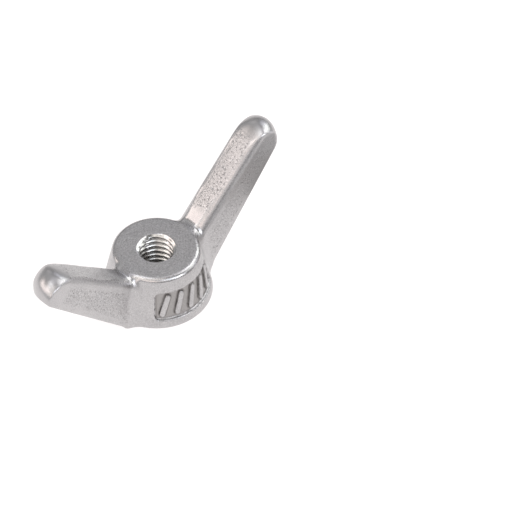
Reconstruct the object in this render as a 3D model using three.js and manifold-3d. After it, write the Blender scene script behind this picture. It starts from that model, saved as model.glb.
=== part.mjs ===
// Wing nut with long straight wings, cast in stainless steel, tapped M6 x 1 right hand.
// Units are millimetres. The origin lies on the thread axis in the bearing face;
// +Z runs up the thread axis and the wings spread along X.
import * as THREE from 'three';
import Module from 'manifold-3d';

// ---------------------------------------------------------------- driving dimensions
const THREAD_PITCH = 1.0;          // M6 coarse
const THREAD_MINOR_R = 2.5;        // crest of the internal thread
const THREAD_MAJOR_R = 3.04;       // root of the internal thread
const CREST_FLAT = 0.25;           // width of the crest land, along the axis
const ROOT_FLAT = 0.125;           // width of the root land, along the axis
const CHAMFER_R = 3.08;            // mouth of the bore at both faces
const CHAMFER_SLOPE = 1.0;         // 90 degree included countersink

const BOSS_HEIGHT = 8.8;
const BOSS_BASE_R = 8.5;
const BOSS_TOP_R = 6.72;           // where the wall meets the rim rounding
const RIM_ROUND = 0.66;            // rounding of the upper rim
const FOOT_ROUND = 0.35;           // rounding at the bearing face

const SPLIT_X = 8.875;             // plane between the boss and each wing

const WING_TOP_ROOT = [7.48, 9.12];    // x, z where the top face leaves the boss
const WING_TOP_END = [19.01, 19.25];   // x, z where the domed end starts
const WING_LOW_ROOT = [9.58, 0.2];
const WING_LOW_END = [22.4, 14.42];
const WING_HALF_TOP = 2.31;            // half thickness below the rounded top corner
const WING_HALF_MID = 2.90;
const WING_HALF_LOW = 2.98;
const WING_CORNER_R = 0.85;            // rounding along the top corners
const WING_UNDER_R = 1.34;             // rounding along the lower corners
// domed end: an ellipsoid-like cap whose centre lies inside the wing, past the end line
const CAP = { rise: 3.42, back: 8.0, hub: 2.914, up: 2.914, down: 3.863, half: 3.706, pc: 2.40, py: 2.54 };
const ROOT_FLARE = 0.6;                // extra half thickness where the wing meets the boss
const ROOT_FLARE_X = 10.6;             // the flare dies out here

const PANEL_FROM = -137;               // recessed panel on the -Y side of the boss, degrees
const PANEL_TO = -43;
const PANEL_LOW = 1.5;
const PANEL_HIGH = 6.3;
const PANEL_DEPTH = 0.42;
const RIB_COUNT = 5;                   // plain raised bars in the panel
const RIB_WIDTH = 0.92;
const RIB_RISE = 0.34;
const RIB_LOW = 2.2;
const RIB_HIGH = 5.6;
const RIB_LEAN = 1.25;                 // sideways lean over the height of a bar

const SEGMENTS = 48;                   // around the boss

// ---------------------------------------------------------------- helpers
const wasm = await Module();
wasm.setup();

function solid(points, triangles) {
  return new wasm.Manifold(new wasm.Mesh({
    numProp: 3,
    vertProperties: new Float32Array(points.flat()),
    triVerts: new Uint32Array(triangles.flat()),
  }));
}

// Closed loft through rings that all have the same number of points.
function loft(rings) {
  const n = rings[0].length;
  const points = rings.flat();
  const triangles = [];
  for (let i = 0; i + 1 < rings.length; i++) {
    for (let j = 0; j < n; j++) {
      const k = (j + 1) % n;
      const a = i * n + j, b = i * n + k, c = (i + 1) * n + k, d = (i + 1) * n + j;
      triangles.push([a, b, c], [a, c, d]);
    }
  }
  const first = points.length;
  const middle = (ring) => ring.reduce((s, p) => [s[0] + p[0] / n, s[1] + p[1] / n, s[2] + p[2] / n], [0, 0, 0]);
  points.push(middle(rings[0]), middle(rings[rings.length - 1]));
  const base = (rings.length - 1) * n;
  for (let j = 0; j < n; j++) {
    const k = (j + 1) % n;
    triangles.push([first, k, j], [first + 1, base + j, base + k]);
  }
  return solid(points, triangles);
}

function box(lowX, highX) {
  const g = new THREE.BoxGeometry(highX - lowX, 60, 80);
  g.translate((lowX + highX) / 2, 0, 0);
  const p = g.attributes.position;
  const index = g.index.array;
  const seen = new Map();
  const points = [];
  const map = [];
  for (let i = 0; i < p.count; i++) {
    const v = [p.getX(i), p.getY(i), p.getZ(i)];
    const key = v.join(',');
    if (!seen.has(key)) { seen.set(key, points.length); points.push(v); }
    map.push(seen.get(key));
  }
  const triangles = [];
  for (let i = 0; i < index.length; i += 3) triangles.push([map[index[i]], map[index[i + 1]], map[index[i + 2]]]);
  return solid(points, triangles);
}

const rad = (d) => d * Math.PI / 180;
const wallR = (z) => BOSS_BASE_R + (BOSS_TOP_R - BOSS_BASE_R) * z / (BOSS_HEIGHT - RIM_ROUND);

// ---------------------------------------------------------------- boss with threaded bore
// Half section of the outside, from the bearing face round to the top face.
function outsideProfile() {
  const out = [];
  const footR = wallR(FOOT_ROUND);
  for (const a of [0, 30, 60, 90]) {
    out.push([footR - FOOT_ROUND + FOOT_ROUND * Math.sin(rad(a)), FOOT_ROUND - FOOT_ROUND * Math.cos(rad(a))]);
  }
  for (const a of [0, 22.5, 45, 67.5, 90]) {
    out.push([BOSS_TOP_R - RIM_ROUND + RIM_ROUND * Math.cos(rad(a)), BOSS_HEIGHT - RIM_ROUND + RIM_ROUND * Math.sin(rad(a))]);
  }
  return out;
}

// Radius of the bore wall at height z for a column at angle th (turns).
function threadR(z, turn) {
  const flank = (THREAD_PITCH - CREST_FLAT - ROOT_FLAT) / 2;
  let s = (z - THREAD_PITCH * turn) / THREAD_PITCH;
  s = (s - Math.floor(s)) * THREAD_PITCH;          // 0 .. pitch
  if (s < CREST_FLAT) return THREAD_MINOR_R;
  s -= CREST_FLAT;
  if (s < flank) return THREAD_MINOR_R + (THREAD_MAJOR_R - THREAD_MINOR_R) * s / flank;
  s -= flank;
  if (s < ROOT_FLAT) return THREAD_MAJOR_R;
  s -= ROOT_FLAT;
  return THREAD_MAJOR_R - (THREAD_MAJOR_R - THREAD_MINOR_R) * s / flank;
}

const coneR = (z) => CHAMFER_R - CHAMFER_SLOPE * Math.min(z, BOSS_HEIGHT - z);
const boreR = (z, turn) => Math.max(threadR(z, turn), coneR(z));

// Break points of the bore wall in one column, from the top face down to the bearing face.
// Each carries the helix coordinate that joins it to its neighbour in the next column.
function boreColumn(turn) {
  const flank = (THREAD_PITCH - CREST_FLAT - ROOT_FLAT) / 2;
  const marks = [0, CREST_FLAT, CREST_FLAT + flank, CREST_FLAT + flank + ROOT_FLAT];
  const zs = new Set();
  for (let k = -2; k * THREAD_PITCH < BOSS_HEIGHT + THREAD_PITCH; k++) {
    for (const m of marks) {
      const z = k * THREAD_PITCH + m + THREAD_PITCH * turn;
      if (z > 0.03 && z < BOSS_HEIGHT - 0.03) zs.add(z);
    }
  }
  // where the countersinks cut the thread
  const f = (z) => threadR(z, turn) - coneR(z);
  const N = 2000;
  for (let i = 0; i < N; i++) {
    const a = BOSS_HEIGHT * i / N, b = BOSS_HEIGHT * (i + 1) / N;
    if (Math.min(a, BOSS_HEIGHT - b) > 1.2) continue;
    if ((f(a) < 0) !== (f(b) < 0)) {
      let lo = a, hi = b;
      for (let j = 0; j < 40; j++) {
        const m = (lo + hi) / 2;
        if ((f(lo) < 0) !== (f(m) < 0)) hi = m; else lo = m;
      }
      zs.add((lo + hi) / 2);
    }
  }
  let list = [...zs].sort((a, b) => b - a).map((z) => [boreR(z, turn), z]);
  // leave out points that lie on a straight stretch or too near the last one
  const full = [[coneR(BOSS_HEIGHT), BOSS_HEIGHT], ...list, [coneR(0), 0]];
  const out = [full[0]];
  for (let i = 1; i < full.length - 1; i++) {
    const p = out[out.length - 1], q = full[i], r = full[i + 1];
    const near = Math.hypot(q[0] - p[0], q[1] - p[1]) < 0.04 || Math.hypot(q[0] - full[full.length - 1][0], q[1]) < 0.04;
    const cross = Math.abs((q[0] - p[0]) * (r[1] - p[1]) - (q[1] - p[1]) * (r[0] - p[0])) / Math.hypot(r[0] - p[0], r[1] - p[1]);
    if (!near && cross > 1e-3) out.push(q);
  }
  out.push(full[full.length - 1]);
  return out;
}

function bossSolid() {
  const outside = outsideProfile();
  const points = [];
  const columns = [];
  for (let i = 0; i < SEGMENTS; i++) {
    const turn = i / SEGMENTS;
    const c = Math.cos(2 * Math.PI * turn), s = Math.sin(2 * Math.PI * turn);
    const put = ([r, z]) => { points.push([r * c, r * s, z]); return points.length - 1; };
    columns.push({ out: outside.map(put), bore: boreColumn(turn), ids: null, put });
    columns[i].ids = columns[i].bore.map(put);
  }
  const triangles = [];
  for (let i = 0; i < SEGMENTS; i++) {
    const A = columns[i], B = columns[(i + 1) % SEGMENTS];
    const rim = (P) => [...P.out];
    const a = rim(A), b = rim(B);
    for (let j = 0; j + 1 < a.length; j++) triangles.push([a[j], b[j], b[j + 1]], [a[j], b[j + 1], a[j + 1]]);
    // top face and bearing face
    const aTop = a[a.length - 1], bTop = b[b.length - 1];
    triangles.push([aTop, bTop, B.ids[0]], [aTop, B.ids[0], A.ids[0]]);
    const aEnd = A.ids[A.ids.length - 1], bEnd = B.ids[B.ids.length - 1];
    triangles.push([b[0], a[0], aEnd], [b[0], aEnd, bEnd]);
    // bore wall, joined along the helix
    const step = THREAD_PITCH / SEGMENTS;
    let p = 0, q = 0;
    while (p < A.ids.length - 1 || q < B.ids.length - 1) {
      let moveA;
      if (p === A.ids.length - 1) moveA = false;
      else if (q === B.ids.length - 1) moveA = true;
      else {
        const za = A.bore[p + 1], zb = B.bore[q + 1];
        const pa = A.bore[p], qb = B.bore[q];
        const costA = Math.hypot(za[0] - qb[0], za[1] + step - qb[1]);
        const costB = Math.hypot(pa[0] - zb[0], pa[1] + step - zb[1]);
        moveA = costA <= costB;
      }
      if (moveA) { triangles.push([A.ids[p], B.ids[q], A.ids[p + 1]]); p++; }
      else { triangles.push([A.ids[p], B.ids[q], B.ids[q + 1]]); q++; }
    }
  }
  return solid(points, triangles);
}

// ---------------------------------------------------------------- wings
// Outline of a wing section from the middle of the top face, down the -Y side and back up:
// d is the distance below the top face, y the half thickness there.
function wingOutline(length) {
  const L = length;
  const t = WING_CORNER_R, u = WING_UNDER_R;
  return [
    [0, WING_HALF_TOP - t], [0.134 * t, WING_HALF_TOP - 0.5 * t], [0.5 * t, WING_HALF_TOP - 0.134 * t], [t + 0.05, WING_HALF_TOP],
    [Math.min(2.45, 0.40 * L), WING_HALF_MID - 0.12], [Math.min(2.82, 0.46 * L), WING_HALF_MID],
    [L - Math.max(u + 0.3, Math.min(2.2, 0.36 * L)), WING_HALF_LOW], [L - u, WING_HALF_LOW],
    [L - 0.5 * u, WING_HALF_LOW - 0.134 * u], [L - 0.134 * u, WING_HALF_LOW - 0.5 * u], [L, WING_HALF_LOW - u],
  ];
}

function wingSolid(side) {
  const stations = [];
  const lerp = (a, b, t) => [a[0] + (b[0] - a[0]) * t, a[1] + (b[1] - a[1]) * t];
  const dirTop = [WING_TOP_END[0] - WING_TOP_ROOT[0], WING_TOP_END[1] - WING_TOP_ROOT[1]];
  // inside the boss the top line runs on downwards and the lower line stays above the bearing face
  stations.push([[4.9, WING_TOP_ROOT[1] - (WING_TOP_ROOT[0] - 4.9) * dirTop[1] / dirTop[0]], [4.9, WING_LOW_ROOT[1]]]);
  stations.push([[6.3, WING_TOP_ROOT[1] - (WING_TOP_ROOT[0] - 6.3) * dirTop[1] / dirTop[0]], [7.1, WING_LOW_ROOT[1]]]);
  stations.push([WING_TOP_ROOT, [9.0, WING_LOW_ROOT[1]]]);
  for (const t of [0.06, 0.13, 0.22, 0.35, 0.55, 0.75, 0.9, 1.0]) {
    stations.push([lerp(WING_TOP_ROOT, WING_TOP_END, t), lerp(WING_LOW_ROOT, WING_LOW_END, t)]);
  }
  const rings = [];
  const ringOf = (T, B, map) => {
    const L = Math.hypot(T[0] - B[0], T[1] - B[1]);
    const down = [(B[0] - T[0]) / L, (B[1] - T[1]) / L];
    const points = wingOutline(L).map(([d, y]) => {
      const x0 = T[0] + down[0] * d;
      const k = Math.max(0, (ROOT_FLARE_X - x0) / (ROOT_FLARE_X - 7.0));
      const flare = ROOT_FLARE * Math.min(1.4, k * k) * Math.min(1, 0.45 + d / 2.6);
      const [dd, yy, s] = map ? map(d, y, L) : [d, y + flare, 0];
      return [T[0] + down[0] * dd - down[1] * s, yy, T[1] + down[1] * dd + down[0] * s];
    });
    const near = points.map(([x, y, z]) => [side * x, -y, z]);
    const far = points.slice().reverse().map(([x, y, z]) => [side * x, y, z]);
    const ring = [...near, ...far];
    return side > 0 ? ring : ring.reverse();
  };
  stations.forEach(([T, B]) => rings.push(ringOf(T, B)));
  // domed end: rings stand out from the end line, each one trimmed to the cap
  for (const s of [0.55, 1.1, 1.6, 2.1, 2.55, 2.9, 3.15, 3.32]) {
    const g = Math.sqrt(1 - ((s + CAP.back) / (CAP.rise + CAP.back)) ** 2);
    const core = Math.sqrt(1 - (CAP.back / (CAP.rise + CAP.back)) ** 2);
    const level = Math.pow(g, (CAP.pc + CAP.py) / 2);
    const reach = (half) => half / core * Math.pow(level, 1 / CAP.pc);
    rings.push(ringOf(WING_TOP_END, WING_LOW_END, (d, y, L) => {
      let c = d - CAP.hub;
      const half = c < 0 ? CAP.up : CAP.down;
      const end = c < 0 ? CAP.hub : L - CAP.hub;
      c *= Math.min(1, 0.985 * reach(half) / end);
      const rest = Math.max(0, level - Math.pow(Math.abs(c) * core / half, CAP.pc));
      const cap = CAP.half / core * Math.pow(rest, 1 / CAP.py);
      return [CAP.hub + c, Math.max(0.06, Math.min(y, cap)), s];
    }));
  }
  return loft(rings);
}

// ---------------------------------------------------------------- recessed panel and bars
function panelCutter() {
  const ends = [[0, 0.55], [1.4, 0.2], [3.6, 0]];
  const angles = [];
  for (const [a, inset] of ends) angles.push([PANEL_FROM + a, inset]);
  for (let a = PANEL_FROM + 9; a <= PANEL_TO - 9 + 1e-6; a += (PANEL_TO - PANEL_FROM - 18) / 11) angles.push([a, 0]);
  for (const [a, inset] of ends.slice().reverse()) angles.push([PANEL_TO - a, inset]);
  const rings = angles.map(([a, inset]) => {
    const c = Math.cos(rad(a)), s = Math.sin(rad(a));
    const lo = PANEL_LOW + inset, hi = PANEL_HIGH - inset;
    const at = (r, z) => [r * c, r * s, z];
    return [at(wallR(lo) - PANEL_DEPTH, lo), at(10.5, lo), at(10.5, hi), at(wallR(hi) - PANEL_DEPTH, hi)];
  });
  return loft(rings.map((r) => r.slice().reverse()));
}

function ribSolid(index) {
  const middle = (PANEL_FROM + PANEL_TO) / 2;
  const spacing = (PANEL_TO - PANEL_FROM) / (RIB_COUNT + 0.35);
  const centre = middle + (index - (RIB_COUNT - 1) / 2) * spacing;
  const rings = [];
  for (const [t, w] of [[0, 0.45], [0.06, 0.85], [0.14, 1], [0.5, 1], [0.86, 1], [0.94, 0.85], [1, 0.45]]) {
    const z = RIB_LOW + (RIB_HIGH - RIB_LOW) * t;
    const r = wallR(z) - PANEL_DEPTH;
    const mid = centre + (t - 0.5) * RIB_LEAN / r * 180 / Math.PI;
    const half = RIB_WIDTH * w / 2 / r * 180 / Math.PI;
    const at = (a, rr) => [rr * Math.cos(rad(a)), rr * Math.sin(rad(a)), z];
    rings.push([at(mid - half, r - 0.35), at(mid - half, r + RIB_RISE * 0.7), at(mid - half * 0.6, r + RIB_RISE),
      at(mid + half * 0.6, r + RIB_RISE), at(mid + half, r + RIB_RISE * 0.7), at(mid + half, r - 0.35)]);
  }
  return loft(rings);
}

// ---------------------------------------------------------------- assembly
function outward(m) { return m; }

let casting = outward(bossSolid());
const right = wingSolid(1), left = wingSolid(-1);
casting = casting.subtract(panelCutter());
for (let i = 0; i < RIB_COUNT; i++) casting = casting.add(ribSolid(i));
casting = casting.add(right).add(left);

const middlePart = casting.intersect(box(-SPLIT_X, SPLIT_X));
const rightPart = right.intersect(box(SPLIT_X, 40));
const leftPart = left.intersect(box(-40, -SPLIT_X));

function mesh(manifold, name, material) {
  const m = manifold.getMesh();
  const g = new THREE.BufferGeometry();
  const stride = m.numProp;
  const position = new Float32Array(m.vertProperties.length / stride * 3);
  for (let i = 0; i < position.length / 3; i++) {
    position[3 * i] = m.vertProperties[stride * i];
    position[3 * i + 1] = m.vertProperties[stride * i + 1];
    position[3 * i + 2] = m.vertProperties[stride * i + 2];
  }
  g.setAttribute('position', new THREE.BufferAttribute(position, 3));
  g.setIndex(new THREE.BufferAttribute(new Uint32Array(m.triVerts), 1));
  g.computeVertexNormals();
  const out = new THREE.Mesh(g, material);
  out.name = name;
  return out;
}

const castSteel = new THREE.MeshStandardMaterial({ color: 0xb6b3b0, roughness: 0.38, metalness: 1.0 });
const tappedSteel = new THREE.MeshStandardMaterial({ color: 0xa9a9ad, roughness: 0.3, metalness: 1.0 });

const nut = new THREE.Group();
nut.add(mesh(middlePart, 'threaded_boss', tappedSteel));
nut.add(mesh(leftPart, 'wing_left', castSteel));
nut.add(mesh(rightPart, 'wing_right', castSteel));

export default nut;
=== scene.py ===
import math

import bpy
import numpy as np
from mathutils import Matrix, Vector


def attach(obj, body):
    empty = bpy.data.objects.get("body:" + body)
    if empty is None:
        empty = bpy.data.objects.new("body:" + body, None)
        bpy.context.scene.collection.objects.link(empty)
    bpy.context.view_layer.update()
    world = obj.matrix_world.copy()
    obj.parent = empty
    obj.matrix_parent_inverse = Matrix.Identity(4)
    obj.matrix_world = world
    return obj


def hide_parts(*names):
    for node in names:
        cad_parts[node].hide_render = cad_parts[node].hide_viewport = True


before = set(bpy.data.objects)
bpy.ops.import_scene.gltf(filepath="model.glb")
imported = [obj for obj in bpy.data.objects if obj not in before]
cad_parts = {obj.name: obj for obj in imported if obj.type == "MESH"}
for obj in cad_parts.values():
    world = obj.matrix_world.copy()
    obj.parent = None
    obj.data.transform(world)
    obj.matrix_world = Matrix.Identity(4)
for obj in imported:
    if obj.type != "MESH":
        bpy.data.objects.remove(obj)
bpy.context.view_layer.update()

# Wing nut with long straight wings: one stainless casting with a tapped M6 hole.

MM = 0.001

# ------------------------------------------------------------------ dimensions, mm
PITCH = 1.0
MINOR_R = 2.5
MAJOR_R = 3.04
MOUTH_R = 2.96
THREAD_PHASE = 0.0
THREAD_TURN = math.radians(-67)
H = 8.8
BASE_R = 8.5
TOP_R = 6.72
RIM = 0.66
FOOT = 0.35
WALL_K = (BASE_R - TOP_R) / (H - RIM)
WALL_C = 1 / math.sqrt(1 + WALL_K**2)
WING = dict(
    top=(7.48, 8.966), top_angle=41.746, low=(9.102, 0.2), low_angle=47.767,  # x and z where each line starts, its slope
    y_top=2.284, y_low=2.905, y_mid=2.680, ridge=1.40, under=0.42,
)
# the end cap: an ellipsoid standing on the end line; as cast it sits a little off the middle plane
END = dict(
    x=19.532, angle=38.205, chord=6.063, rise=1.924, back=6.549, hub=0.575, pc=1.883, py=1.994, y=3.42, blend=1.10, crease=0.20,
    shift=0.228, off_left=-0.998, off_right=0.106, slant=-0.287,
)
PANEL = dict(a0=-137.0, a1=-43.0, z0=1.5, z1=6.3, depth=0.42, corner=0.8)
CELL = 0.168


# ------------------------------------------------------------------ the casting as a distance field
def rint(a, b, r):
    """Intersection with the edge rounded to r."""
    return np.minimum(-r, np.maximum(a, b)) + np.sqrt(
        np.maximum(a + r, 0) ** 2 + np.maximum(b + r, 0) ** 2
    )


def runi(a, b, r):
    """Union with a fillet of r."""
    return np.maximum(r, np.minimum(a, b)) - np.sqrt(
        np.maximum(r - a, 0) ** 2 + np.maximum(r - b, 0) ** 2
    )


def sstep(e0, e1, x):
    t = np.clip((x - e0) / (e1 - e0), 0, 1)
    return t * t * (3 - 2 * t)


def wing(x, y, z, parts=False):
    X, Y = np.abs(x), np.abs(y)
    ta, la = math.radians(WING["top_angle"]), math.radians(WING["low_angle"])
    at = -(X - WING["top"][0]) * math.sin(ta) + (z - WING["top"][1]) * math.cos(ta)
    ab = (X - WING["low"][0]) * math.sin(la) - (z - WING["low"][1]) * math.cos(la)
    d, db = -at, -ab
    main = Y - WING["y_mid"] - 0.03 * (d - 2.4)
    up = (Y - WING["y_top"] - 0.18 - 0.235 * (d - 0.9)) * 0.973
    lo = (Y - WING["y_low"] - 0.17 * (db - 0.3)) * 0.986
    side = rint(rint(main, up, 0.12), lo, 0.12)
    f = rint(rint(at, side, WING["ridge"]), ab, WING["under"])
    # the domed end: a flattened ellipsoid standing on the end of the bar
    ex = END["x"]
    ez = WING["top"][1] + (ex - WING["top"][0]) * math.tan(ta)
    ea = math.radians(END["angle"])
    s = (X - ex) * math.sin(ea) + (z - ez) * math.cos(ea) - END["shift"] * np.sign(x)
    c = (X - ex) * math.cos(ea) - (z - ez) * math.sin(ea) - END["hub"] * END["chord"]
    A = END["rise"] + END["back"]
    k = math.sqrt(1 - (END["back"] / A) ** 2)
    hc = np.where(c < 0, END["hub"], 1 - END["hub"]) * END["chord"] / k
    hy = END["y"] / k
    yc = y - np.where(x < 0, END["off_left"], END["off_right"]) + END["slant"] * c * np.sign(x)
    G = ((np.abs(c) / hc) ** END["pc"] + (np.abs(yc) / hy) ** END["py"]) ** (2 / (END["pc"] + END["py"]))
    sb = s + END["back"]
    g2 = G**2 + np.sign(sb) * (sb / A) ** 2
    tip = np.where(g2 <= 0, -3.0, (np.sqrt(np.maximum(g2, 1e-6)) - 1) * 2.8)
    w = np.maximum(rint(f, tip, END["crease"]), rint(at, tip, END["blend"]))
    if parts:
        return w, dict(at=at, ab=ab, main=main, up=up, lo=lo, side=side, s=s, c=c, tip=tip)
    return w


def bar_plan(a, R, z):
    """Distance on the wall to the outline of five plain leaning bars."""
    mid = (PANEL["a0"] + PANEL["a1"]) / 2
    spacing = (PANEL["a1"] - PANEL["a0"]) / 5.35
    out = None
    for i in range(5):
        u = np.radians(a - (mid + (i - 2) * spacing)) * R
        v = z - 3.9
        lx, lz = 0.5, 1.42
        t = np.clip((u * lx + v * lz) / (lx * lx + lz * lz), -1, 1)
        q = np.sqrt((u - t * lx) ** 2 + (v - t * lz) ** 2) - 0.46
        out = q if out is None else np.minimum(out, q)
    return out


def casting(x, y, z):
    r = np.sqrt(x * x + y * y)
    wall = (r - (BASE_R - WALL_K * z)) * WALL_C
    b = rint(wall, z - H, RIM)
    w = wing(x, y, z)
    k = 1.35 + 0.55 * (1 - sstep(5.0, 8.7, z))
    f = rint(runi(b, w, k), -z, FOOT)
    # recessed panel on the -Y side
    a = np.degrees(np.arctan2(y, x))
    mid = (PANEL["a0"] + PANEL["a1"]) / 2
    R = BASE_R - WALL_K * z
    arc = np.radians(np.abs(a - mid)) * R
    half = np.radians((PANEL["a1"] - PANEL["a0"]) / 2) * R
    hz, cz, cr = (PANEL["z1"] - PANEL["z0"]) / 2, (PANEL["z1"] + PANEL["z0"]) / 2, PANEL["corner"]
    px, pz = arc - half + cr, np.abs(z - cz) - hz + cr
    rect = np.sqrt(np.maximum(px, 0) ** 2 + np.maximum(pz, 0) ** 2) + np.minimum(np.maximum(px, pz), 0) - cr
    f = rint(f, -np.maximum(rect, -(wall + PANEL["depth"])), 0.10)
    # five plain raised bars in it
    bars = bar_plan(a, R, z)
    bar = rint(bars, wall + PANEL["depth"] - 0.34, 0.13)
    bar = np.maximum(bar, -(wall + 1.2))
    return np.where(rect < 0.3, runi(f, bar, 0.08), f)


def field(p):
    return casting(p[:, 0], p[:, 1], p[:, 2])


def gradient(p, e=0.01):
    g = np.empty_like(p)
    for k in range(3):
        d = np.zeros(3)
        d[k] = e
        g[:, k] = (field(p + d) - field(p - d)) / (2 * e)
    return g


def surface_nets(F, lo, h):
    """Vertices and quads of the zero surface of F."""
    n = F.shape
    acc = np.zeros((n[0] - 1, n[1] - 1, n[2] - 1, 3), np.float32)
    cnt = np.zeros((n[0] - 1, n[1] - 1, n[2] - 1), np.int16)
    edges = []
    for ax in range(3):
        s0, s1 = [slice(None)] * 3, [slice(None)] * 3
        s0[ax], s1[ax] = slice(0, -1), slice(1, None)
        a, b = F[tuple(s0)], F[tuple(s1)]
        cross = (a < 0) != (b < 0)
        idx = np.argwhere(cross)
        va, vb = a[cross], b[cross]
        p = idx.astype(np.float32)
        p[:, ax] += va / (va - vb)
        o = [k for k in range(3) if k != ax]
        cells = []
        for d0, d1 in ((0, 0), (-1, 0), (-1, -1), (0, -1)):
            c = idx.copy()
            c[:, o[0]] += d0
            c[:, o[1]] += d1
            cells.append(c)
            np.add.at(acc, (c[:, 0], c[:, 1], c[:, 2]), p)
            np.add.at(cnt, (c[:, 0], c[:, 1], c[:, 2]), 1)
        edges.append((ax, cells, va < 0))
    used = cnt > 0
    ids = -np.ones(cnt.shape, np.int64)
    ids[used] = np.arange(used.sum())
    V = acc[used] / cnt[used][:, None] * h + lo
    Q = []
    for ax, cells, inside in edges:
        q = np.stack([ids[c[:, 0], c[:, 1], c[:, 2]] for c in cells], 1)
        fl = ~inside if ax == 1 else inside
        q[~fl] = q[~fl][:, ::-1]
        Q.append(q)
    return V.astype(np.float64), np.concatenate(Q)


def mesh_casting(h, smooth=3):
    lo, hi = np.array([-26.0, -9.2, -0.6]), np.array([26.0, 9.2, 22.4])
    n = np.ceil((hi - lo) / h).astype(int) + 1
    lo = lo + 0.37 * h
    xs, ys, zs = (lo[k] + h * np.arange(n[k]) for k in range(3))
    F = np.full(n, 5.0, np.float32)
    for i in range(0, n[0], 16):
        x = xs[i : i + 17]
        js = np.nonzero(np.abs(ys) < 3.6)[0] if abs(x.mean()) > 11 else np.arange(n[1])
        X, Y, Z = np.meshgrid(x, ys[js], zs, indexing="ij")
        F[i : i + len(x), js[0] : js[-1] + 1, :] = casting(X, Y, Z)
    V, Q = surface_nets(F, lo, h)
    E = np.concatenate([Q[:, [0, 1]], Q[:, [1, 2]], Q[:, [2, 3]], Q[:, [3, 0]]])

    def project(V, times, cap):
        for _ in range(times):
            f, g = field(V), gradient(V)
            st = -(f / np.maximum((g * g).sum(1), 0.05))[:, None] * g
            ln = np.linalg.norm(st, axis=1, keepdims=True)
            V = V + st * np.minimum(1, cap * h / np.maximum(ln, 1e-9))
        return V

    V = project(V, 2, 0.5)
    deg = np.bincount(E.ravel(), minlength=len(V)).astype(float)
    for _ in range(smooth):
        S = np.zeros_like(V)
        for k in range(3):
            S[:, k] = np.bincount(E[:, 0], weights=V[E[:, 1], k], minlength=len(V))
            S[:, k] += np.bincount(E[:, 1], weights=V[E[:, 0], k], minlength=len(V))
        S /= deg[:, None]
        V = project(V + 0.5 * (S - V), 1, 0.5)
    return project(V, 2, 0.4), Q


# ------------------------------------------------------------------ the tap: a right-hand thread as a solid
def tap(columns=192, z0=-2.0, turns=13):
    profile = [
        (0.000, 2.515), (0.035, 2.500), (0.125, 2.500), (0.215, 2.500), (0.250, 2.515), (0.400, 2.765),
        (0.535, 3.000), (0.575, 3.030), (0.625, 3.040), (0.675, 3.030), (0.715, 3.000), (0.850, 2.765),
    ]
    rows = len(profile)
    index, V = {}, []

    def add(t, p):
        i, turn = t % columns, t // columns
        th = 2 * math.pi * i / columns + THREAD_TURN
        z = z0 + PITCH * (turn + i / columns + profile[p][0]) + THREAD_PHASE
        r = max(profile[p][1], MOUTH_R - 1.8 * (H - z), MOUTH_R - z)
        r = min(r, 4.2)
        index[(t, p)] = len(V)
        V.append((r * math.cos(th), r * math.sin(th), z))

    last = columns * turns
    for t in range(last + columns + 1):
        for p in range(rows if t <= last else 1):
            add(t, p)

    def at(t, p):
        return index[(t, p)] if p < rows else index[(t + columns, 0)]

    faces = []
    for t in range(last):
        for p in range(rows):
            faces.append((at(t, p), at(t + 1, p), at(t + 1, p + 1), at(t, p + 1)))
    low = [at(t, 0) for t in range(columns + 1)] + [at(0, p) for p in range(rows - 1, 0, -1)]
    high = [at(last, p) for p in range(rows)] + [at(t, 0) for t in range(last + columns, last, -1)]
    c0, c1 = len(V), len(V) + 1
    V += [(0, 0, z0 - 0.5), (0, 0, z0 + PITCH * (turns + 1) + 0.5)]
    for a, b in zip(low, low[1:] + low[:1]):
        faces.append((b, a, c0))
    for a, b in zip(high, high[1:] + high[:1]):
        faces.append((b, a, c1))
    return V, faces


def new_object(name, V, faces, scale=MM):
    me = bpy.data.meshes.new(name)
    V = np.asarray(V, float) * scale
    me.from_pydata(V.tolist(), [], [list(map(int, f)) for f in faces])
    me.update()
    ob = bpy.data.objects.new(name, me)
    bpy.context.scene.collection.objects.link(ob)
    return ob


V, Q = mesh_casting(CELL)
body = new_object("wing_nut_casting", V, Q, 1.0)
tv, tf = tap()
cutter = new_object("tap_tool", tv, tf, 1.0)
mod = body.modifiers.new("bore", "BOOLEAN")
mod.operation = "DIFFERENCE"
mod.solver = "MANIFOLD"
mod.object = cutter
dg = bpy.context.evaluated_depsgraph_get()
cut = bpy.data.meshes.new_from_object(body.evaluated_get(dg), depsgraph=dg)
body.modifiers.clear()
old = body.data
body.data = cut
bpy.data.meshes.remove(old)
bpy.data.objects.remove(cutter)
me = body.data
me.name = "wing_nut_casting"
me.transform(Matrix.Scale(MM, 4))
print("casting", len(me.vertices), "verts", sum(len(p.vertices) - 2 for p in me.polygons), "triangles")

# ------------------------------------------------------------------ attributes the materials read
nv = len(me.vertices)
co = np.zeros(nv * 3, np.float32)
me.vertices.foreach_get("co", co)
P = co.reshape(-1, 3).astype(float) / MM
x, y, z = P.T
rr = np.hypot(x, y)
_, W = wing(x, y, z, parts=True)
wall = (rr - (BASE_R - WALL_K * z)) * WALL_C
on_wing = sstep(8.2, 9.6, np.abs(x))
dome = sstep(-0.35, 0.25, W["tip"] - np.maximum(W["side"], np.maximum(W["at"], W["ab"])))
dome = dome * (W["s"] > -0.8)
d_top, d_low = -W["at"], -W["ab"]
is_top = sstep(-0.1, 0.25, W["at"] - W["side"]) * on_wing * (1 - dome)
is_main = sstep(0.0, 0.1, W["main"] - np.maximum(W["up"], W["lo"])) * sstep(0.0, 0.3, W["side"] - W["at"])
pit = is_main * on_wing * (1 - sstep(-2.2, -1.4, W["s"])) * (1 - dome) * (np.abs(W["side"]) < 0.4)
cap = (z > H - 0.02) & (rr < TOP_R)
cap = cap.astype(float) * (1 - on_wing)
ang = np.degrees(np.arctan2(y, x))
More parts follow.
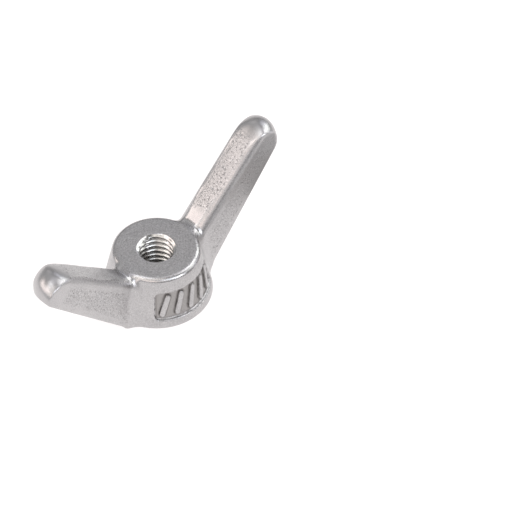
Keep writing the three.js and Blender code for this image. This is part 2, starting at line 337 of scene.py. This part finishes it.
in_panel = (np.abs(ang + 90) < 46.5) & (z > PANEL["z0"] + 0.1) & (z < PANEL["z1"] - 0.1) & (wall < -0.10) & (rr > 5)
# painted shade: the panel's recessed floor is darkened in the base colour
recess_shade = np.where(in_panel, sstep(-0.10, -0.34, wall), 0.0)
# painted shade in the corners round the bars, along the panel's bottom edge and on its left end wall
bar_foot_shade = 1 - sstep(0.08, 0.29, np.abs(bar_plan(ang, BASE_R - WALL_K * z, z) - 0.05))
panel_edge_shade = np.maximum(0.3 * (1 - sstep(0.12, 0.42, z - PANEL["z0"])), (1 - sstep(0.9, 3.2, 47 + (ang + 90))) * (z < 5.9))
line = np.where(in_panel, np.maximum(bar_foot_shade, 0.8 * panel_edge_shade) * sstep(-0.06, -0.22, wall), 0.0)
t_ridge = np.abs(W["at"] - W["side"])
ridge = (1 - sstep(0.35, 0.75, t_ridge)) * on_wing * (np.maximum(W["at"], W["side"]) > -0.45)
under = sstep(-1.35, -0.9, W["ab"]) * on_wing
rim = sstep(H - 0.80, H - 0.60, z) * sstep(TOP_R - 0.75, TOP_R - 0.50, rr) * (1 - on_wing)
foot = 1 - sstep(0.35, 0.6, z)
around_end = sstep(-2.0, -0.8, W["s"])
root_corner = 1 - sstep(0.6, 1.5, np.sqrt((np.abs(x) - 7.7) ** 2 + (np.abs(y) - 2.45) ** 2 + (z - 8.8) ** 2))
polish = np.clip(np.maximum.reduce([ridge, 0.8 * under, rim, root_corner, foot, dome, 0.8 * around_end * on_wing]), 0, 1)
for name, val in (("polish", polish), ("recess_shade", recess_shade), ("line", line), ("dome", dome), ("pit", pit), ("top_face", is_top), ("boss_top", cap), ("on_wing", on_wing)):
    at_ = me.attributes.new(name, "FLOAT", "POINT")
    at_.data.foreach_set("value", np.ascontiguousarray(val, np.float32))

npoly = len(me.polygons)
cen = np.zeros(npoly * 3, np.float32)
me.polygons.foreach_get("center", cen)
cen = cen.reshape(-1, 3) / MM
bore = (np.hypot(cen[:, 0], cen[:, 1]) < max(MOUTH_R, MAJOR_R) + 0.004) & (cen[:, 2] > 0.001) & (cen[:, 2] < H - 0.001)


# ------------------------------------------------------------------ node materials
class Tree:
    def __init__(self, mat):
        mat.use_nodes = True
        self.t = mat.node_tree
        self.t.nodes.clear()

    def n(self, kind, **kw):
        node = self.t.nodes.new(kind)
        for k, v in kw.items():
            setattr(node, k, v)
        return node

    def set(self, sock, v):
        if hasattr(v, "is_output") or isinstance(v, bpy.types.NodeSocket):
            self.t.links.new(v, sock)
        else:
            sock.default_value = v

    def math(self, op, a, b=None, c=None, clamp=False):
        m = self.n("ShaderNodeMath", operation=op, use_clamp=clamp)
        self.set(m.inputs[0], a)
        if b is not None:
            self.set(m.inputs[1], b)
        if c is not None:
            self.set(m.inputs[2], c)
        return m.outputs[0]

    def ramp(self, fac, stops, interp="LINEAR"):
        r = self.n("ShaderNodeMapRange", interpolation_type=interp)
        (a, va), (b, vb) = stops
        self.set(r.inputs["Value"], fac)
        r.inputs["From Min"].default_value = a
        r.inputs["From Max"].default_value = b
        r.inputs["To Min"].default_value = va
        r.inputs["To Max"].default_value = vb
        return r.outputs["Result"]

    def noise(self, vec, scale, detail=3, rough=0.5, dist=0.0):
        t = self.n("ShaderNodeTexNoise")
        self.set(t.inputs["Vector"], vec)
        t.inputs["Scale"].default_value = scale
        t.inputs["Detail"].default_value = detail
        t.inputs["Roughness"].default_value = rough
        t.inputs["Distortion"].default_value = dist
        return t.outputs["Fac"]

    def attr(self, name):
        return self.n("ShaderNodeAttribute", attribute_name=name).outputs["Fac"]

    def mix(self, fac, a, b):
        m = self.n("ShaderNodeMix", data_type="RGBA")
        self.set(m.inputs["Factor"], fac)
        self.set(m.inputs[6], a)
        self.set(m.inputs[7], b)
        return m.outputs[2]


def cast_steel():
    mat = bpy.data.materials.new("cast_stainless")
    T = Tree(mat)
    pos = T.n("ShaderNodeTexCoord").outputs["Object"]
    out = T.n("ShaderNodeOutputMaterial")
    bsdf = T.n("ShaderNodeBsdfPrincipled")
    T.t.links.new(bsdf.outputs[0], out.inputs[0])
    bsdf.inputs["Metallic"].default_value = 1.0
    pit, top_face, boss_top, recess_shade, line, polish, dome = (
        T.attr(n) for n in ("pit", "top_face", "boss_top", "recess_shade", "line", "polish", "dome")
    )
    broad = T.noise(pos, 260, 3)
    fine = T.noise(pos, 2300, 3, 0.6)
    grain = T.noise(pos, 6200, 3, 0.6)
    dull = T.math("SUBTRACT", 1.0, T.math("MULTIPLY", polish, 0.80))
    matte = T.math("ADD", pit, T.math("ADD", T.math("MULTIPLY", top_face, 0.9), T.math("MULTIPLY", boss_top, 0.6)), clamp=True)
    matte = T.math("MULTIPLY", matte, dull)
    # small dark hollows left by the mould, thickest on the matte faces
    dip = T.ramp(T.noise(pos, 3300, 2, 0.55), ((0.43, 0.0), (0.33, 1.0)), "SMOOTHSTEP")
    pitted = T.math("MULTIPLY", dip, T.math("ADD", T.math("MULTIPLY", matte, 0.72), T.math("MULTIPLY", dull, 0.15)), clamp=True)
    base = T.mix(T.ramp(broad, ((0.3, 0.0), (0.7, 1.0))), (0.47, 0.46, 0.466, 1), (0.53, 0.517, 0.52, 1))
    speck = T.ramp(grain, ((0.32, 1.0), (0.52, 0.0)))
    amount = T.math("MULTIPLY", dull, T.math("ADD", T.math("MULTIPLY", matte, 0.30), 0.40))
    base = T.mix(T.math("MULTIPLY", speck, amount), base, (0.27, 0.262, 0.262, 1))
    bright = T.ramp(grain, ((0.52, 0.0), (0.75, 1.0)))
    base = T.mix(T.math("MULTIPLY", bright, amount), base, (0.88, 0.87, 0.87, 1))
    base = T.mix(T.math("MULTIPLY", pitted, 0.75), base, (0.15, 0.14, 0.135, 1))
    # painted shade in the recessed panel
    base = T.mix(T.math("MULTIPLY", recess_shade, 0.62), base, (0.27, 0.255, 0.245, 1))
    # painted shade round the bars' feet and along the panel's bottom and left edges
    base = T.mix(T.math("MULTIPLY", line, 0.66), base, (0.13, 0.12, 0.115, 1))
    T.set(bsdf.inputs["Base Color"], base)
    rough = T.ramp(fine, ((0.3, 0.31), (0.7, 0.38)))
    rough = T.math("ADD", rough, T.math("MULTIPLY", matte, 0.06))
    rough = T.math("SUBTRACT", rough, T.math("MULTIPLY", polish, 0.08))
    rough = T.math("ADD", rough, T.math("MULTIPLY", dome, 0.06))
    T.set(bsdf.inputs["Roughness"], rough)
    h1 = T.math("MULTIPLY", fine, T.math("ADD", T.math("MULTIPLY", matte, 0.9), T.math("MULTIPLY", dull, 0.25)))
    h2 = T.math("MULTIPLY", pitted, -1.4)
    h3 = T.math("MULTIPLY", grain, T.math("ADD", T.math("MULTIPLY", matte, 0.6), T.math("MULTIPLY", dull, 0.12)))
    height = T.math("ADD", T.math("ADD", h1, h2), h3)
    bump = T.n("ShaderNodeBump")
    bump.inputs["Strength"].default_value = 0.55
    bump.inputs["Distance"].default_value = 0.00006
    T.set(bump.inputs["Height"], height)
    T.t.links.new(bump.outputs[0], bsdf.inputs["Normal"])
    return mat


def cut_steel():
    mat = bpy.data.materials.new("tapped_stainless")
    T = Tree(mat)
    pos = T.n("ShaderNodeTexCoord").outputs["Object"]
    out = T.n("ShaderNodeOutputMaterial")
    bsdf = T.n("ShaderNodeBsdfPrincipled")
    T.t.links.new(bsdf.outputs[0], out.inputs[0])
    bsdf.inputs["Metallic"].default_value = 1.0
    n1 = T.noise(pos, 900, 3)
    T.set(bsdf.inputs["Base Color"], T.mix(n1, (0.50, 0.49, 0.48, 1), (0.60, 0.59, 0.58, 1)))
    T.set(bsdf.inputs["Roughness"], T.ramp(n1, ((0.3, 0.14), (0.7, 0.24))))
    bump = T.n("ShaderNodeBump")
    bump.inputs["Strength"].default_value = 0.15
    bump.inputs["Distance"].default_value = 0.00003
    T.set(bump.inputs["Height"], T.noise(pos, 3000, 2))
    T.t.links.new(bump.outputs[0], bsdf.inputs["Normal"])
    return mat


me.materials.clear()
me.materials.append(cast_steel())
me.materials.append(cut_steel())
me.polygons.foreach_set("material_index", bore.astype(np.int32))
me.polygons.foreach_set("use_smooth", np.ones(npoly, bool))
me.set_sharp_from_angle(angle=math.radians(38))
me.update()

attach(body, "root")
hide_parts("threaded_boss", "wing_left", "wing_right")

# ------------------------------------------------------------------ floor
fm = bpy.data.materials.new("pale_floor")
F = Tree(fm)
fpos = F.n("ShaderNodeTexCoord").outputs["Object"]
out = F.n("ShaderNodeOutputMaterial")
diff = F.n("ShaderNodeBsdfDiffuse")
emit = F.n("ShaderNodeEmission")
add = F.n("ShaderNodeAddShader")
diff.inputs["Color"].default_value = (0.22, 0.22, 0.22, 1)
emit.inputs["Color"].default_value = (1.000, 0.975, 0.970, 1)
# painted shadow: the glow of the table fades out under the nut
flen = F.n("ShaderNodeVectorMath", operation="LENGTH")
F.t.links.new(fpos, flen.inputs[0])
F.set(emit.inputs["Strength"], F.ramp(flen.outputs["Value"], ((0.0055, 0.0), (0.0080, 0.895)), "SMOOTHSTEP"))
F.t.links.new(diff.outputs[0], add.inputs[0])
F.t.links.new(emit.outputs[0], add.inputs[1])
F.t.links.new(add.outputs[0], out.inputs[0])
floor = new_object("floor", [(-1.5, -1.5, 0), (1.5, -1.5, 0), (1.5, 1.5, 0), (-1.5, 1.5, 0)], [(0, 1, 2, 3)], 1.0)
floor.data.materials.append(fm)


def flag(name, centre, size, turn, tone):
    """A grey card block that only shows as a reflection."""
    hx, hy, hz = (v / 2 for v in size)
    c, sn = math.cos(turn), math.sin(turn)
    vs = [
        (centre[0] + sx * hx * c - sy * hy * sn, centre[1] + sx * hx * sn + sy * hy * c, centre[2] + sz * hz)
        for sx in (-1, 1) for sy in (-1, 1) for sz in (-1, 1)
    ]
    fs = [(0, 1, 3, 2), (4, 6, 7, 5), (0, 4, 5, 1), (2, 3, 7, 6), (0, 2, 6, 4), (1, 5, 7, 3)]
    ob = new_object(name, vs, fs)
    m = bpy.data.materials.new(name)
    T = Tree(m)
    d = T.n("ShaderNodeBsdfDiffuse")
    d.inputs["Color"].default_value = (tone, tone, tone, 1)
    o = T.n("ShaderNodeOutputMaterial")
    T.t.links.new(d.outputs[0], o.inputs[0])
    ob.data.materials.append(m)
    ob.visible_camera = ob.visible_shadow = ob.visible_diffuse = False


flag("flag_a", (32.5, -16.8, 5.5), (24, 14, 11), math.radians(-30), 0.52)
flag("flag_b", (18.5, -33.5, 4.5), (18, 12, 9), math.radians(40), 0.52)


# ------------------------------------------------------------------ light
def aim(az, el, dist):
    a, e = math.radians(az), math.radians(el)
    return Vector((math.cos(a) * math.cos(e), math.sin(a) * math.cos(e), math.sin(e))) * dist


def softbox(name, az, el, dist, width, height, radiance, color=(1, 1, 1)):
    li = bpy.data.lights.new(name, "AREA")
    li.shape = "RECTANGLE"
    li.size, li.size_y = width, height
    li.energy = radiance * math.pi * width * height
    li.color = color
    ob = bpy.data.objects.new(name, li)
    bpy.context.scene.collection.objects.link(ob)
    p = aim(az, el, dist)
    ob.location = p
    ob.rotation_euler = (-p).to_track_quat("-Z", "Y").to_euler()
    return ob


world = bpy.data.worlds.new("studio")
bpy.context.scene.world = world
world.use_nodes = True
bg = world.node_tree.nodes["Background"]
bg.inputs["Color"].default_value = (1.000, 1.000, 1.000, 1)
bg.inputs["Strength"].default_value = 0.300
# soft panels all round the table: azimuth, elevation, width, height in metres, radiance, tint
for i, (az, el, pw, ph, rad, tint) in enumerate((
    (-80, 30, 0.240, 0.240, 3.83, (0.940, 0.954, 1.000)),
    (-40, 30, 0.240, 0.240, 1.28, (0.961, 1.000, 0.931)),
    (0, 30, 0.240, 0.240, 2.31, (0.955, 1.000, 0.965)),
    (20, 30, 0.240, 0.240, 0.84, (0.856, 0.874, 1.000)),
    (-100, 45, 0.240, 0.240, 1.70, (0.850, 0.918, 1.000)),
    (-20, 45, 0.240, 0.240, 1.52, (0.990, 0.979, 1.000)),
    (-20, 60, 0.240, 0.240, 1.81, (0.971, 0.984, 1.000)),
    (90, 10, 0.320, 0.233, 0.17, (0.929, 0.955, 1.000)),
    (120, 10, 0.320, 0.233, 0.36, (0.981, 0.988, 1.000)),
    (150, 10, 0.320, 0.233, 0.39, (0.938, 0.958, 1.000)),
    (180, 10, 0.320, 0.233, 0.13, (0.754, 0.883, 1.000)),
    (210, 10, 0.320, 0.233, 0.26, (0.871, 0.934, 1.000)),
    (330, 10, 0.320, 0.233, 0.77, (0.884, 0.881, 1.000)),
    (60, 32, 0.270, 0.233, 0.49, (0.995, 0.985, 1.000)),
    (90, 32, 0.270, 0.233, 0.20, (0.938, 0.984, 1.000)),
    (120, 32, 0.270, 0.233, 1.99, (1.000, 0.907, 0.853)),
    (150, 32, 0.270, 0.233, 1.54, (1.000, 0.888, 0.851)),
    (180, 32, 0.270, 0.233, 1.09, (1.000, 0.957, 0.924)),
    (210, 32, 0.270, 0.233, 1.53, (1.000, 0.883, 0.828)),
    (240, 32, 0.270, 0.233, 0.83, (1.000, 0.944, 0.921)),
    (270, 32, 0.270, 0.233, 0.16, (0.868, 0.903, 1.000)),
    (330, 32, 0.270, 0.233, 0.19, (0.952, 0.936, 1.000)),
    (40, 54, 0.257, 0.233, 0.17, (0.947, 0.939, 1.000)),
    (80, 54, 0.257, 0.233, 0.27, (0.981, 0.988, 1.000)),
    (160, 54, 0.257, 0.233, 2.15, (1.000, 0.929, 0.889)),
    (200, 54, 0.257, 0.233, 0.89, (1.000, 0.950, 0.888)),
    (240, 54, 0.257, 0.233, 0.36, (1.000, 0.982, 0.985)),
    (45, 76, 0.200, 0.200, 0.65, (0.920, 0.904, 1.000)),
    (135, 76, 0.200, 0.200, 2.08, (0.969, 0.987, 1.000)),
    (225, 76, 0.200, 0.200, 1.27, (1.000, 0.949, 0.897)),
)):
    softbox("panel_%02d" % i, az, el, 0.6, pw, ph, rad, tint)

# ------------------------------------------------------------------ camera
CAM = dict(az=-43.48, el=47.57, roll=-1.67, D=500.0, ox=157.3, oy=287.62, s=6.6)
ra, re = math.radians(CAM["az"]), math.radians(CAM["el"])
back = Vector((math.sin(ra) * math.cos(re), -math.cos(ra) * math.cos(re), math.sin(re)))
right = Vector((math.cos(ra), math.sin(ra), 0))
up = back.cross(right)
fpx = CAM["s"] * CAM["D"]
v = Vector(((CAM["ox"] - 260) / fpx, -(CAM["oy"] - 260) / fpx, -1)).normalized()
R0 = Matrix((right, up, back)).transposed()
Qm = v.rotation_difference(Vector((0, 0, -1))).to_matrix()
Rz = Matrix.Rotation(math.radians(CAM["roll"]), 3, "Z")
cam_data = bpy.data.cameras.new("camera")
cam_data.sensor_width = 36
cam_data.lens = fpx * 36 / 520
cam_data.clip_start = 0.01
cam_data.clip_end = 20
camera = bpy.data.objects.new("camera", cam_data)
bpy.context.scene.collection.objects.link(camera)
M = (R0 @ Rz @ Qm).to_4x4()
M.translation = back * CAM["D"] * MM
camera.matrix_world = M
bpy.context.scene.camera = camera
bpy.context.scene.view_settings.view_transform = "Standard"
bpy.context.scene.view_settings.look = "None"
